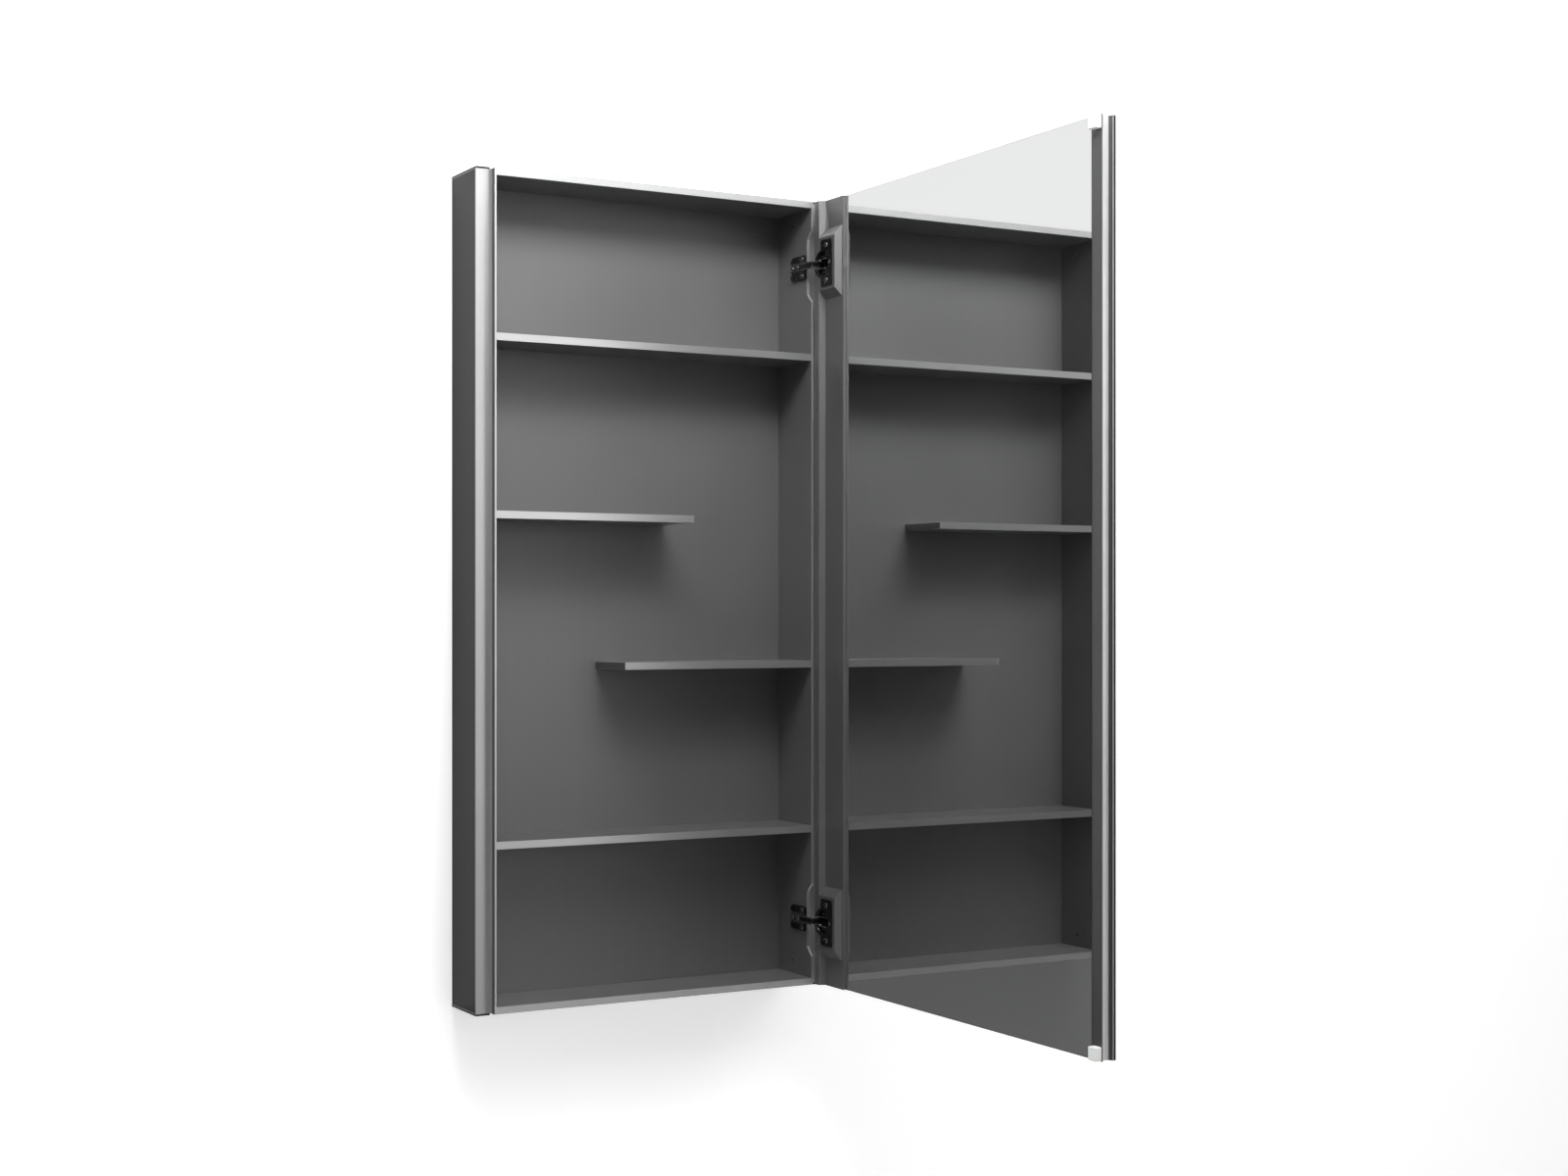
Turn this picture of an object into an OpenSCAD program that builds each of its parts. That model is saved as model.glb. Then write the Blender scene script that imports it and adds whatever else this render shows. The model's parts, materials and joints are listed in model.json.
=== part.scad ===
// Wall-hung mirrored medicine cabinet with a full-height door, shown with its door open.
// Origin: centre of the back, on the wall plane. -Y faces the room, +X is the hinge side, +Z is up.

/* [Cabinet] */
// Outside width over the two side covers
cabinet_w = 497; // [400:1:620]
// Height over the top and bottom panels
cabinet_h = 1010; // [820:1:1240]
// Depth from the wall to the front lips
cabinet_d = 80; // [66:1:140]
// Thickness of the top and bottom panels
panel_t = 8.6; // [7:0.1:12]
// Skin thickness of the hollow panels and shelves
skin_t = 2.4; // [1.6:0.1:3]
// Width of the ribs that take the screws inside panels and shelves
rib_w = 8; // [7:0.5:10]
// Room between the flange and the heads of the front screws
row_room = 4; // [2:0.5:8]
// Depth of the solid strip behind the rear screws of panels and shelves
back_rib = 5.5; // [4:0.5:9]
// Thickness of the back sheet
back_t = 1.5; // [1:0.1:2.5]
// Space behind the back sheet for the hanging rail
wall_gap = 5; // [4.8:0.1:9]

/* [Side walls] */
// Thickness of a side wall and of its front lip
wall_t = 2.5; // [2:0.1:4]
// Width of the flange beside the lip
flange_w = 19; // [16:0.5:26]
// How far the lip stands in front of the flange
lip_reach = 12.5; // [11.5:0.5:16]
// Thickness of the flange
flange_t = 2; // [1.5:0.1:3]
// Radius of the cove between lip and flange
cove_r = 7; // [3:0.5:8]
// Radius of the holes for recessed mounting in the side walls
side_hole_r = 2.25; // [1.5:0.05:3]
// Height of these holes from the inside of the top or bottom panel
side_hole_z = 16; // [10:1:24]
// Distance of these holes behind the lip
side_hole_y = 43; // [30:1:48]

/* [Side covers] */
// Sheet thickness of a side cover
cover_t = 1.5; // [1:0.1:2.5]
// Width of the two inward returns of a side cover
cover_return = 10; // [6:0.5:12]
// Bevel on the back corner of a side cover
cover_bevel = 1; // [0.4:0.1:1.4]
// Thickness of an end cap plate
cap_t = 3; // [2:0.1:5]
// Length of the plug under an end cap plate
cap_plug = 9; // [5:0.5:16]

/* [Shelves] */
// Thickness of the shelves
shelf_t = 9; // [7:0.1:12]
// Height of the full shelves above and below the middle
full_shelf_z = 304; // [240:1:330]
// Height of the half shelves above and below the middle
half_shelf_z = 91.5; // [60:0.5:160]
// Length of the half shelves
half_shelf_w = 277; // [180:1:320]
// Setback of the shelf fronts behind the lips
shelf_setback = 0.5; // [0:0.5:6]
// Thickness of the cap on a half shelf's free end
shelf_cap_t = 1.5; // [1:0.1:3]

/* [Hanging rail] */
// Width of the rail and of the cleat
rail_w = 430; // [300:1:430]
// Thickness of both bars
rail_t = 1.5; // [1.2:0.1:1.5]
// Height of one flat of either bar
rail_flat = 22; // [16:1:30]
// Height of the hook line above the middle
rail_z = 424; // [300:1:440]
// Back sheet left in front of the rail's studs
stud_skin = 0.5; // [0.4:0.1:0.8]
// Distance between the two wall screws
stud_pitch = 406.4; // [200:0.1:406.4]
// Radius of the holes for the wall screws
stud_hole_r = 2.75; // [2:0.05:3.5]
// Radius of the pad between the back sheet and the wall
pad_r = 20; // [10:1:40]
// Bevel on the pad's edge towards the wall
pad_bevel = 1; // [0.4:0.1:2]

/* [Door] */
// How far the door stays inside the cabinet's outside width on each side
door_inset = 0.25; // [0:0.05:2]
// How much shorter the door is than the cabinet
door_short = 2; // [0:0.5:8]
// Gap between the closed door's stile and the lips
door_gap = 2.5; // [1.5:0.1:5]
// Thickness of both mirror glasses
glass_t = 3; // [2:0.5:5]
// Thickness of the core board between the glasses
core_t = 13; // [12:0.5:18]
// How far the inner mirror lies below the face of the hinge stile
mirror_drop = 4; // [3.6:0.1:6]
// Height of the top and bottom rails of the door
door_rail_h = 10; // [6:0.5:30]

/* [Hinge stile] */
// Width of the hinge stile
stile_w = 49.8; // [44:0.2:64]
// Thickness of the hinge stile's plate
stile_t = 3.2; // [2.4:0.1:3.6]
// Thickness of the stile's leg along the hinge edge
stile_leg = 2; // [1.9:0.1:2.1]
// Height of the rib and of the hinge mounts over the stile
rib_h = 8; // [7:0.1:8.4]
// Width of the rib's top
rib_top = 9; // [7:0.5:10]
// Extra width of the rib at its foot
rib_slant = 3; // [1:0.5:4]
// Small gap between pieces that are slid together
slide_gap = 0.2; // [0.1:0.05:0.4]

/* [Free stile] */
// Width of the free stile
free_w = 15.2; // [12:0.2:24]
// Radius of the finger pull scooped into its edge
pull_r = 6.8; // [6:0.1:7]
// Distance of the scoop's centre outside the edge
pull_out = 0.8; // [0.4:0.1:2]
// Distance of the scoop's centre from the outer glass
pull_v = 8; // [7.6:0.1:8.4]

/* [Corner bumpers] */
// Width of a corner bumper along the door
bumper_w = 11; // [8:0.5:13]
// Height of a corner bumper
bumper_h = 15; // [10:0.5:20]
// How far a corner bumper stands over the mirror
bumper_proud = 9.4; // [5:0.1:10]
// Distance of a corner bumper from the door's edges
bumper_in = 0.8; // [0.4:0.1:1.5]

/* [Hinges] */
// Distance of a hinge from the door's top or bottom
hinge_in = 82; // [70:1:110]
// Distance of the pivot from the door's hinge edge
pivot_u = 5; // [4.9:0.1:5.3]
// Depth of the pivot below the face of the hinge stile
pivot_v = 4.8; // [4.4:0.1:5.4]
// Radius of the hinge cup
cup_r = 17.4; // [14.5:0.1:17.5]
// Radial clearance of the cup in the stile and the mount
cup_gap = 0.1; // [0.05:0.05:0.2]
// Distance of the cup's near side from the door's hinge edge
cup_edge = 1.6; // [1.5:0.1:1.8]
// Width of the rim around the cup
rim_w = 0.9; // [0.4:0.1:1]
// Wall around the open bowl of the cup
bowl_wall = 2; // [1:0.5:4]
// Wall left under the hollow of the cup
cup_floor = 1.5; // [1:0.1:2]
// Length of the ear plate on the cup
ear_l = 60; // [54:1:64]
// Distance of the ear plate from the door's hinge edge
ear_in = 14; // [10:0.5:16]
// Width of the ear plate
ear_w = 23; // [18:0.5:24]
// Thickness of the ear plate
ear_t = 1.2; // [0.8:0.1:1.5]
// Distance between the two screws in an ear plate
ear_pitch = 45; // [43:0.5:50]
// Length of the flat top of a hinge mount
mount_flat = 67; // [64:1:76]
// Length of the sloping ends of a hinge mount
mount_slope = 11.5; // [8:0.5:14]
// Width of the hinge mount's top beside the rib
mount_top = 33; // [29:0.5:34]
// Slope of the hinge mount's side
mount_side = 5; // [3:0.5:6]
// Radius of the hinge pin
pin_r = 1.5; // [1.2:0.05:1.6]
// Radial clearance of the pin in the arm
pin_gap = 0.05; // [0.02:0.01:0.1]
// Length of the hinge pin
pin_l = 17; // [14:0.5:18]
// Wall of the arm's eye around the pin
eye_wall = 1.25; // [1:0.05:1.3]
// Thickness of the arm
arm_t = 4; // [3:0.1:4.4]
// Width of the arm
arm_w = 9; // [7:0.5:10]
// Wall left between the arm's slot and the door's hinge edge
slot_in = 1.8; // [1.7:0.1:1.9]
// Depth of the slot that runs out through the hinge edge
swing_v = 1.5; // [1:0.1:2]
// Side clearance of the arm in the cup
arm_gap = 0.7; // [0.4:0.1:1]
// Depth of the wall plate
plate_d = 33; // [28:0.5:36]
// Height of the wall plate
plate_h = 32; // [28:0.5:44]
// Thickness of the wall plate
plate_t = 2.5; // [2:0.1:3.5]
// Distance of the wall plate behind the lip
plate_y = 10; // [9:0.5:12]
// Distance between the two screws of a wall plate
plate_pitch = 22; // [18:0.5:24]
// Distance of the plate's screws from its front
plate_screw_in = 8; // [5:0.5:12]
// Distance of the arm's end from the back of the wall plate
tail_in = 4; // [1:0.5:6]
// Distance of the arm's first screw from the plate's front
arm_screw_in = 12; // [9:0.5:13]
// Distance of the arm's second screw from its end
arm_screw_end = 6; // [4:0.5:7]
// Depth of the lip's notch for a hinge mount
notch_d = 10; // [9:0.5:11]
// Clearance of the notch above and below the hinge mount
notch_gap = 2; // [1:0.5:5]

/* [Screws] */
// Radius of a screw's shank
screw_r = 1.9; // [1.5:0.05:2]
// Radius of a screw's head
head_r = 3.5; // [2.8:0.1:3.5]
// Height of a screw's head
head_t = 1.2; // [1:0.1:1.6]
// Length of the corner and shelf screws
screw_l = 16; // [10:1:24]
// Radial clearance of a screw in a sheet
screw_gap = 0.2; // [0.1:0.05:0.4]

/* [Hidden] */

$fn = 48;
small = 0.01;            // overlap that keeps cuts clean
cut = 400;               // longer than anything a cut passes through
colour_dark = "dimgray";
colour_light = "silver";
colour_black = [0.08, 0.08, 0.09];

// Box
inner_w = cabinet_w - 2 * (flange_w + wall_t);
inner_x = inner_w / 2;
inner_z = cabinet_h / 2 - panel_t;
lip_y = -cabinet_d;
flange_y = lip_y + lip_reach;
back_y = -wall_gap;
sheet_y = back_y - back_t;
board_d = sheet_y - lip_y;
panel_mid = cabinet_h / 2 - panel_t / 2;

// Screw rows of panels and shelves, measured back from the lips
row_front = lip_reach + flange_t + head_r + row_room;
row_back = board_d - rib_w / 2 - back_rib;
side_rows = [lip_y + row_front, lip_y + row_back];
back_screw_x = [for (k = [-2:2]) k * inner_w / 5];
half_screw_x = [for (k = [1, 3]) k * half_shelf_w / 4];

// Door, in its own frame: v runs through the door from the stile's face, u along it from the hinge
hinge_z = (cabinet_h - door_short) / 2 - hinge_in;
door_h = cabinet_h - door_short;
door_w = cabinet_w - 2 * door_inset;
mirror_v = mirror_drop;
core_v = mirror_v + glass_t;
outer_v = core_v + core_t;
free_u = door_w - free_w;
pivot_x = cabinet_w / 2 - door_inset - pivot_u;
pivot_y = lip_y - door_gap - pivot_v;
door_x = pivot_x - pivot_v;
door_y = pivot_y + pivot_u;

// Studs of the hanging rail
stud_depth = back_t - stud_skin;
rail_stud_z = rail_z + rail_flat / 2 + rail_t;

// Hinge
eye_r = pin_r + pin_gap + eye_wall;
arm_x = inner_x - plate_t - arm_t;
arm_reach = norm([pivot_x - arm_x, arm_t / 2]);
slot_w = arm_w + 2 * arm_gap;
hollow_v = pivot_v + eye_r + arm_gap;
cup_bottom = hollow_v + cup_floor;
cup_u = cup_edge + cup_r;
cup_hole_r = cup_r + cup_gap;
ear_u = ear_in + ear_w / 2;
plate_front = lip_y + plate_y;
plate_screw_y = plate_front + plate_screw_in;
arm_tail = plate_front + plate_d - tail_in;
arm_screw_y = [plate_front + arm_screw_in, arm_tail - arm_screw_end];

// ---------- Shared shapes ----------

// A pan-head screw that points along -Z, with the underside of its head at z = 0
module pan_screw(length) {
    union() {
        translate([0, 0, -length])
            cylinder(r = screw_r, h = length + small);
        cylinder(r = head_r, h = head_t);
    }
}

// Turns a child's +Z to +X, -X or +Y
module along_x() rotate([0, 90, 0]) children();
module along_minus_x() rotate([0, -90, 0]) children();
module along_y() rotate([-90, 0, 0]) children();

// A hollow board: a flat extrusion along X with solid ribs for its screws
module board(width, thickness, front) {
    depth = sheet_y - front;
    hollow_h = thickness - 2 * skin_t;
    front_room = side_rows[0] - rib_w / 2 - (front + skin_t);
    mid_front = side_rows[0] + rib_w / 2;
    mid_room = side_rows[1] - rib_w / 2 - mid_front;
    difference() {
        translate([0, front, -thickness / 2])
            cube([width, depth, thickness]);
        translate([-small, front + skin_t, -hollow_h / 2])
            cube([width + 2 * small, front_room, hollow_h]);
        translate([-small, mid_front, -hollow_h / 2])
            cube([width + 2 * small, mid_room, hollow_h]);
    }
}

// Tapped holes for the side screws at one end of a board
module end_holes(x, direction) {
    for (y = side_rows)
        translate([x, y, 0])
            rotate([0, direction * 90, 0])
                translate([0, 0, -screw_l])
                    cylinder(r = screw_r, h = screw_l + small);
}

// Tapped holes for screws that come through the back sheet
module back_holes(places) {
    for (x = places)
        translate([x, sheet_y + small, 0])
            rotate([90, 0, 0])
                cylinder(r = screw_r, h = screw_l - back_t + 2 * small);
}

// ---------- Box ----------

module top_bottom_panel() {
    difference() {
        translate([-inner_x, 0, 0])
            board(inner_w, panel_t, lip_y);
        end_holes(inner_x, 1);
        end_holes(-inner_x, -1);
        back_holes(back_screw_x);
    }
}

module top_panel() {
    color(colour_light)
        translate([0, 0, panel_mid])
            top_bottom_panel();
}

module bottom_panel() {
    color(colour_light)
        translate([0, 0, -panel_mid])
            top_bottom_panel();
}

module back_panel() {
    color(colour_dark)
        difference() {
            translate([-inner_x - wall_t, sheet_y, -cabinet_h / 2])
                cube([inner_w + 2 * wall_t, back_t, cabinet_h]);
            for (place = back_screw_places())
                translate([place[0], 0, place[1]])
                    rotate([90, 0, 0])
                        cylinder(r = screw_r + screw_gap, h = cut, center = true);
            for (x = rail_stud_x())
                translate([x, back_y + small, rail_stud_z])
                    rotate([90, 0, 0])
                        cylinder(r = screw_r, h = stud_depth + small);
        }
}

// Places of the screws through the back sheet: panels first, then the half shelves
function back_screw_places() = concat(
    [for (z = [-panel_mid, panel_mid], x = back_screw_x) [x, z]],
    [for (x = half_screw_x) [-inner_x + x, half_shelf_z]],
    [for (x = half_screw_x) [inner_x - x, -half_shelf_z]]
);

module back_screws() {
    color(colour_light)
        for (place = back_screw_places())
            translate([place[0], back_y, place[1]])
                along_y() pan_screw(screw_l);
}

// Heights at which screws cross a side wall
function wall_screw_heights(half_z) = [-panel_mid, -full_shelf_z, half_z, full_shelf_z, panel_mid];

// Wall, lip, cove and flange of one side, standing to the right of x = 0
module wall_profile() {
    translate([0, lip_y])
        square([wall_t, board_d]);
    translate([wall_t - small, flange_y])
        square([flange_w + small, flange_t]);
    difference() {
        translate([wall_t - small, flange_y - cove_r])
            square([cove_r + small, cove_r + small]);
        translate([wall_t + cove_r, flange_y - cove_r])
            circle(r = cove_r);
    }
}

module side_wall(half_z) {
    difference() {
        translate([inner_x, 0, -cabinet_h / 2])
            linear_extrude(cabinet_h)
                wall_profile();
        for (z = wall_screw_heights(half_z), y = side_rows)
            translate([inner_x, y, z])
                along_x() cylinder(r = screw_r + screw_gap, h = cut, center = true);
        for (z = [-1, 1] * (inner_z - side_hole_z))
            translate([inner_x, lip_y + side_hole_y, z])
                along_x() cylinder(r = side_hole_r, h = cut, center = true);
    }
}

module left_wall() {
    color(colour_light)
        mirror([1, 0, 0])
            side_wall(half_shelf_z);
}

// Lip and cove are notched with sloping ends where the hinge mounts swing in
module lip_notch() {
    half = mount_flat / 2 + notch_gap;
    translate([inner_x - small, 0, 0])
        rotate([90, 0, 90])
            linear_extrude(wall_t + cove_r)
                polygon([
                    [lip_y - 1, -half - mount_slope - 1], [lip_y - 1, half + mount_slope + 1],
                    [lip_y + notch_d, half], [lip_y + notch_d, -half]
                ]);
}

module right_wall() {
    color(colour_light)
        difference() {
            side_wall(-half_shelf_z);
            for (z = [-hinge_z, hinge_z])
                translate([0, 0, z]) {
                    lip_notch();
                    for (s = [-1, 1])
                        translate([inner_x, plate_screw_y, s * plate_pitch / 2])
                            along_x() cylinder(r = screw_r, h = cut, center = true);
                }
        }
}

module corner_screws() {
    color(colour_light)
        for (side = [0, 1], z = [-panel_mid, panel_mid], y = side_rows)
            mirror([side, 0, 0])
                translate([inner_x + wall_t, y, z])
                    along_x() pan_screw(screw_l);
}

// ---------- Side covers ----------

// Sheet profile behind the flange: outside plate, front return and wall return
module cover_profile() {
    outside = cabinet_w / 2;
    front = flange_y + flange_t;
    difference() {
        translate([outside - cover_return, front])
            square([cover_return, -front]);
        translate([outside - cover_return - small, front + cover_t])
            square([cover_return - cover_t + small, -front - 2 * cover_t]);
        translate([outside, 0])
            rotate(45)
                square(cover_bevel * sqrt(2), center = true);
    }
}

module side_cover() {
    translate([0, 0, -cabinet_h / 2])
        linear_extrude(cabinet_h)
            cover_profile();
}

module right_side_cover() {
    color(colour_dark)
        side_cover();
}

module left_side_cover() {
    color(colour_dark)
        mirror([1, 0, 0]) side_cover();
}

// One end cap: a plate over wall flange and cover, with a plug between the cover's returns
module end_cap() {
    outside = cabinet_w / 2;
    plug_front = flange_y + flange_t + cover_t + slide_gap;
    plug_back = -cover_t - slide_gap;
    union() {
        translate([inner_x + wall_t, flange_y, 0])
            cube([flange_w, -flange_y, cap_t]);
        translate([outside - cover_return, plug_front, -cap_plug])
            cube([cover_return - cover_t - slide_gap, plug_back - plug_front, cap_plug + small]);
    }
}

module side_cover_caps() {
    color(colour_dark)
        for (side = [0, 1], end = [0, 1])
            mirror([side, 0, 0])
                mirror([0, 0, end])
                    translate([0, 0, cabinet_h / 2])
                        end_cap();
}

// ---------- Shelves ----------

module full_shelf() {
    difference() {
        translate([-inner_x, 0, 0])
            board(inner_w, shelf_t, lip_y + shelf_setback);
        end_holes(inner_x, 1);
        end_holes(-inner_x, -1);
    }
}

module upper_shelf() {
    color(colour_light)
        translate([0, 0, full_shelf_z]) full_shelf();
}

module lower_shelf() {
    color(colour_light)
        translate([0, 0, -full_shelf_z]) full_shelf();
}

// A half shelf on the left wall
module half_shelf() {
    difference() {
        translate([-inner_x, 0, 0])
            board(half_shelf_w - shelf_cap_t, shelf_t, lip_y + shelf_setback);
        end_holes(-inner_x, -1);
        back_holes([for (x = half_screw_x) x - inner_x]);
    }
}

module half_shelf_cap() {
    front = lip_y + shelf_setback;
    translate([half_shelf_w - shelf_cap_t - inner_x, front, -shelf_t / 2])
        cube([shelf_cap_t, sheet_y - front, shelf_t]);
}

module left_half_shelf() {
    color(colour_light)
        translate([0, 0, half_shelf_z]) half_shelf();
}

module right_half_shelf() {
    color(colour_light)
        mirror([1, 0, 0])
            translate([0, 0, -half_shelf_z]) half_shelf();
}

module half_shelf_caps() {
    color(colour_light)
        for (side = [0, 1])
            mirror([side, 0, 0])
                translate([0, 0, (1 - 2 * side) * half_shelf_z])
                    half_shelf_cap();
}

module shelf_screws() {
    color(colour_light)
        for (side = [0, 1], y = side_rows)
            for (z = [-full_shelf_z, (2 * side - 1) * half_shelf_z, full_shelf_z])
                mirror([side, 0, 0])
                    translate([inner_x + wall_t, y, z])
                        along_x() pan_screw(screw_l);
}

// ---------- Hanging rail ----------

function rail_stud_x() = [for (k = [-1.5:1.5]) k * rail_w / 4];

// The rail is screwed to the back sheet and hooks down behind the cleat
module hanging_rail() {
    hook_y = -rail_t - slide_gap / 2;
    color(colour_light)
        difference() {
            union() {
                translate([-rail_w / 2, back_y, rail_z])
                    cube([rail_w, rail_t, rail_flat + rail_t]);
                translate([-rail_w / 2, back_y, rail_z])
                    cube([rail_w, wall_gap - slide_gap / 2, rail_t]);
                translate([-rail_w / 2, hook_y, rail_z - rail_flat / 2])
                    cube([rail_w, rail_t, rail_flat / 2 + small]);
            }
            for (x = rail_stud_x())
                translate([x, back_y, rail_stud_z])
                    rotate([90, 0, 0])
                        cylinder(r = screw_r + screw_gap, h = cut, center = true);
        }
}

// The cleat is screwed flat to the wall; its bent tongue carries the rail
module wall_cleat() {
    tongue_y = back_y + rail_t + slide_gap / 2;
    tongue_t = wall_gap - 2 * rail_t - 1.5 * slide_gap;
    foot_z = rail_z - rail_flat / 2 - rail_t - slide_gap;
    color(colour_light)
        difference() {
            union() {
                translate([-rail_w / 2, tongue_y, foot_z - small])
                    cube([rail_w, tongue_t, rail_z - foot_z + small]);
                translate([-rail_w / 2, tongue_y, foot_z - rail_t])
                    cube([rail_w, -tongue_y, rail_t]);
                translate([-rail_w / 2, -rail_t, foot_z - rail_t - rail_flat])
                    cube([rail_w, rail_t, rail_flat + small]);
            }
            for (x = [-1, 1] * stud_pitch / 2)
                translate([x, 0, foot_z - rail_t - rail_flat / 2])
                    rotate([90, 0, 0])
                        cylinder(r = stud_hole_r, h = cut, center = true);
        }
}

// Studs set in the back sheet from behind, with their nuts
module rail_studs() {
    color(colour_light)
        for (x = rail_stud_x())
            translate([x, back_y + rail_t, rail_stud_z])
                along_y() pan_screw(rail_t + stud_depth);
}

// Keeps the middle of the back sheet off the wall
module wall_pad() {
    color(colour_black)
        translate([0, back_y, 0])
            along_y() {
                cylinder(r = pad_r, h = wall_gap - pad_bevel);
                translate([0, 0, wall_gap - pad_bevel])
                    cylinder(r1 = pad_r, r2 = pad_r - pad_bevel, h = pad_bevel);
            }
}

// ---------- Hinges on the cabinet ----------

module hinge_plate() {
    color(colour_black)
        difference() {
            translate([inner_x - plate_t, plate_front, -plate_h / 2])
                cube([plate_t, plate_d, plate_h]);
            for (s = [-1, 1])
                translate([inner_x, plate_screw_y, s * plate_pitch / 2])
                    along_x() cylinder(r = screw_r + screw_gap, h = cut, center = true);
            for (y = arm_screw_y)
                translate([inner_x, y, 0])
                    along_x() cylinder(r = screw_r, h = cut, center = true);
        }
}

// Straight along the wall plate, then across in front of the lip to the eye around the pin
module hinge_arm() {
    color(colour_black)
        difference() {
            translate([0, 0, -arm_w / 2])
                linear_extrude(arm_w)
                    difference() {
                        union() {
                            translate([arm_x, pivot_y - arm_t / 2])
                                square([arm_t, arm_tail - pivot_y + arm_t / 2]);
                            translate([arm_x, pivot_y - arm_t / 2])
                                square([pivot_x - arm_x, arm_t]);
                            translate([pivot_x, pivot_y])
                                circle(r = eye_r);
                        }
                        translate([pivot_x, pivot_y])
                            circle(r = pin_r + pin_gap);
                    }
            for (y = arm_screw_y)
                translate([arm_x, y, 0])
                    along_x() cylinder(r = screw_r + screw_gap, h = 3 * arm_t, center = true);
        }
}

module hinge_plate_upper() translate([0, 0, hinge_z]) hinge_plate();
module hinge_plate_lower() translate([0, 0, -hinge_z]) hinge_plate();
module hinge_arm_upper() translate([0, 0, hinge_z]) hinge_arm();
module hinge_arm_lower() translate([0, 0, -hinge_z]) hinge_arm();

module plate_screws() {
    color(colour_black)
        for (z = [-hinge_z, hinge_z], s = [-1, 1])
            translate([inner_x - plate_t, plate_screw_y, z + s * plate_pitch / 2])
                along_minus_x() pan_screw(plate_t + wall_t + 1.5);
}

module arm_screws() {
    color(colour_light)
        for (z = [-hinge_z, hinge_z], y = arm_screw_y)
            translate([arm_x, y, z])
                along_minus_x() pan_screw(arm_t + plate_t - slide_gap);
}

// ---------- Door ----------

// Places children in the door's frame: x is v, y is -u
module in_door() translate([door_x, door_y, 0]) children();

// A block given by its v and u spans, centred on z = 0
module door_block(v0, v1, u0, u1, height) {
    translate([v0, -u1, -height / 2])
        cube([v1 - v0, u1 - u0, height]);
}

module outer_mirror() {
    color([0.75, 0.78, 0.8])
        in_door() door_block(outer_v, outer_v + glass_t, 0, door_w, door_h);
}

module inner_mirror() {
    color([0.75, 0.78, 0.8])
        in_door()
            door_block(mirror_v, core_v, stile_w + slide_gap, free_u - slide_gap, door_h);
}

// Round pockets that the hinge cups sit in
module cup_pockets(radius, v_end) {
    for (z = [-hinge_z, hinge_z])
        translate([-rib_h - 1, -cup_u, z])
            along_x() cylinder(r = radius, h = v_end + rib_h + 1);
}

module door_core() {
    color("tan")
        in_door()
            difference() {
                door_block(core_v, outer_v, stile_leg + slide_gap, free_u - slide_gap,
                           door_h - 2 * door_rail_h);
                cup_pockets(cup_hole_r, cup_bottom + slide_gap);
            }
}

module door_rail() {
    color(colour_dark)
        in_door()
            door_block(core_v, outer_v, stile_leg + slide_gap, free_u - slide_gap, door_rail_h);
}

module door_top_rail() translate([0, 0, (door_h - door_rail_h) / 2]) door_rail();
module door_bottom_rail() translate([0, 0, -(door_h - door_rail_h) / 2]) door_rail();

// Leg along the hinge edge, raised rib, plate and short inner foot
module stile_profile() {
    foot_u = stile_w - stile_leg;
    polygon([
        [-rib_h, 0], [outer_v, 0], [outer_v, -stile_leg], [stile_t, -stile_leg],
        [stile_t, -foot_u], [core_v, -foot_u], [core_v, -stile_w], [0, -stile_w],
        [0, -rib_top - rib_slant], [-rib_h, -rib_top]
    ]);
}

// Slot that lets a hinge arm turn about its pin and past the hinge edge
module arm_slot(z) {
    translate([0, 0, z]) {
        door_block(-rib_h - 2 * ear_t, swing_v, -1, cup_u, slot_w);
        door_block(-rib_h, hollow_v, slot_in, cup_u, slot_w);
    }
}

// Pilot holes for the screws of the ear plates
module ear_holes(radius, v0, v1) {
    for (s = [-1, 1])
        translate([v0, -ear_u, s * ear_pitch / 2])
            along_x() cylinder(r = radius, h = v1 - v0);
}

module hinge_stile() {
    color(colour_dark)
        in_door()
            difference() {
                translate([0, 0, -door_h / 2])
                    linear_extrude(door_h)
                        stile_profile();
                cup_pockets(cup_hole_r, outer_v);
                for (z = [-hinge_z, hinge_z]) {
                    arm_slot(z);
                    translate([0, 0, z])
                        ear_holes(screw_r, -1, stile_t + 1);
                }
            }
}

// Raised pad beside the rib, flush with the rib's top, with sloping ends and side
module hinge_mount(z) {
    half = mount_flat / 2;
    foot = rib_top + mount_top + mount_side;
    color(colour_dark)
        in_door()
            difference() {
                intersection() {
                    translate([0, 0, z - half - mount_slope])
                        linear_extrude(2 * (half + mount_slope))
                            polygon([
                                [-rib_h, -rib_top], [0, -rib_top - rib_slant],
                                [0, -foot], [-rib_h, -rib_top - mount_top]
                            ]);
                    translate([0, 0, z])
                        rotate([90, 0, 0])
                            linear_extrude(foot)
                                polygon([
                                    [0, -half - mount_slope], [0, half + mount_slope],
                                    [-rib_h, half], [-rib_h, -half]
                                ]);
                }
                cup_pockets(cup_hole_r, outer_v);
                arm_slot(z);
                translate([0, 0, z])
                    ear_holes(screw_r, -rib_h - 1, 1);
            }
}

module hinge_mount_upper() hinge_mount(hinge_z);
module hinge_mount_lower() hinge_mount(-hinge_z);

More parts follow.
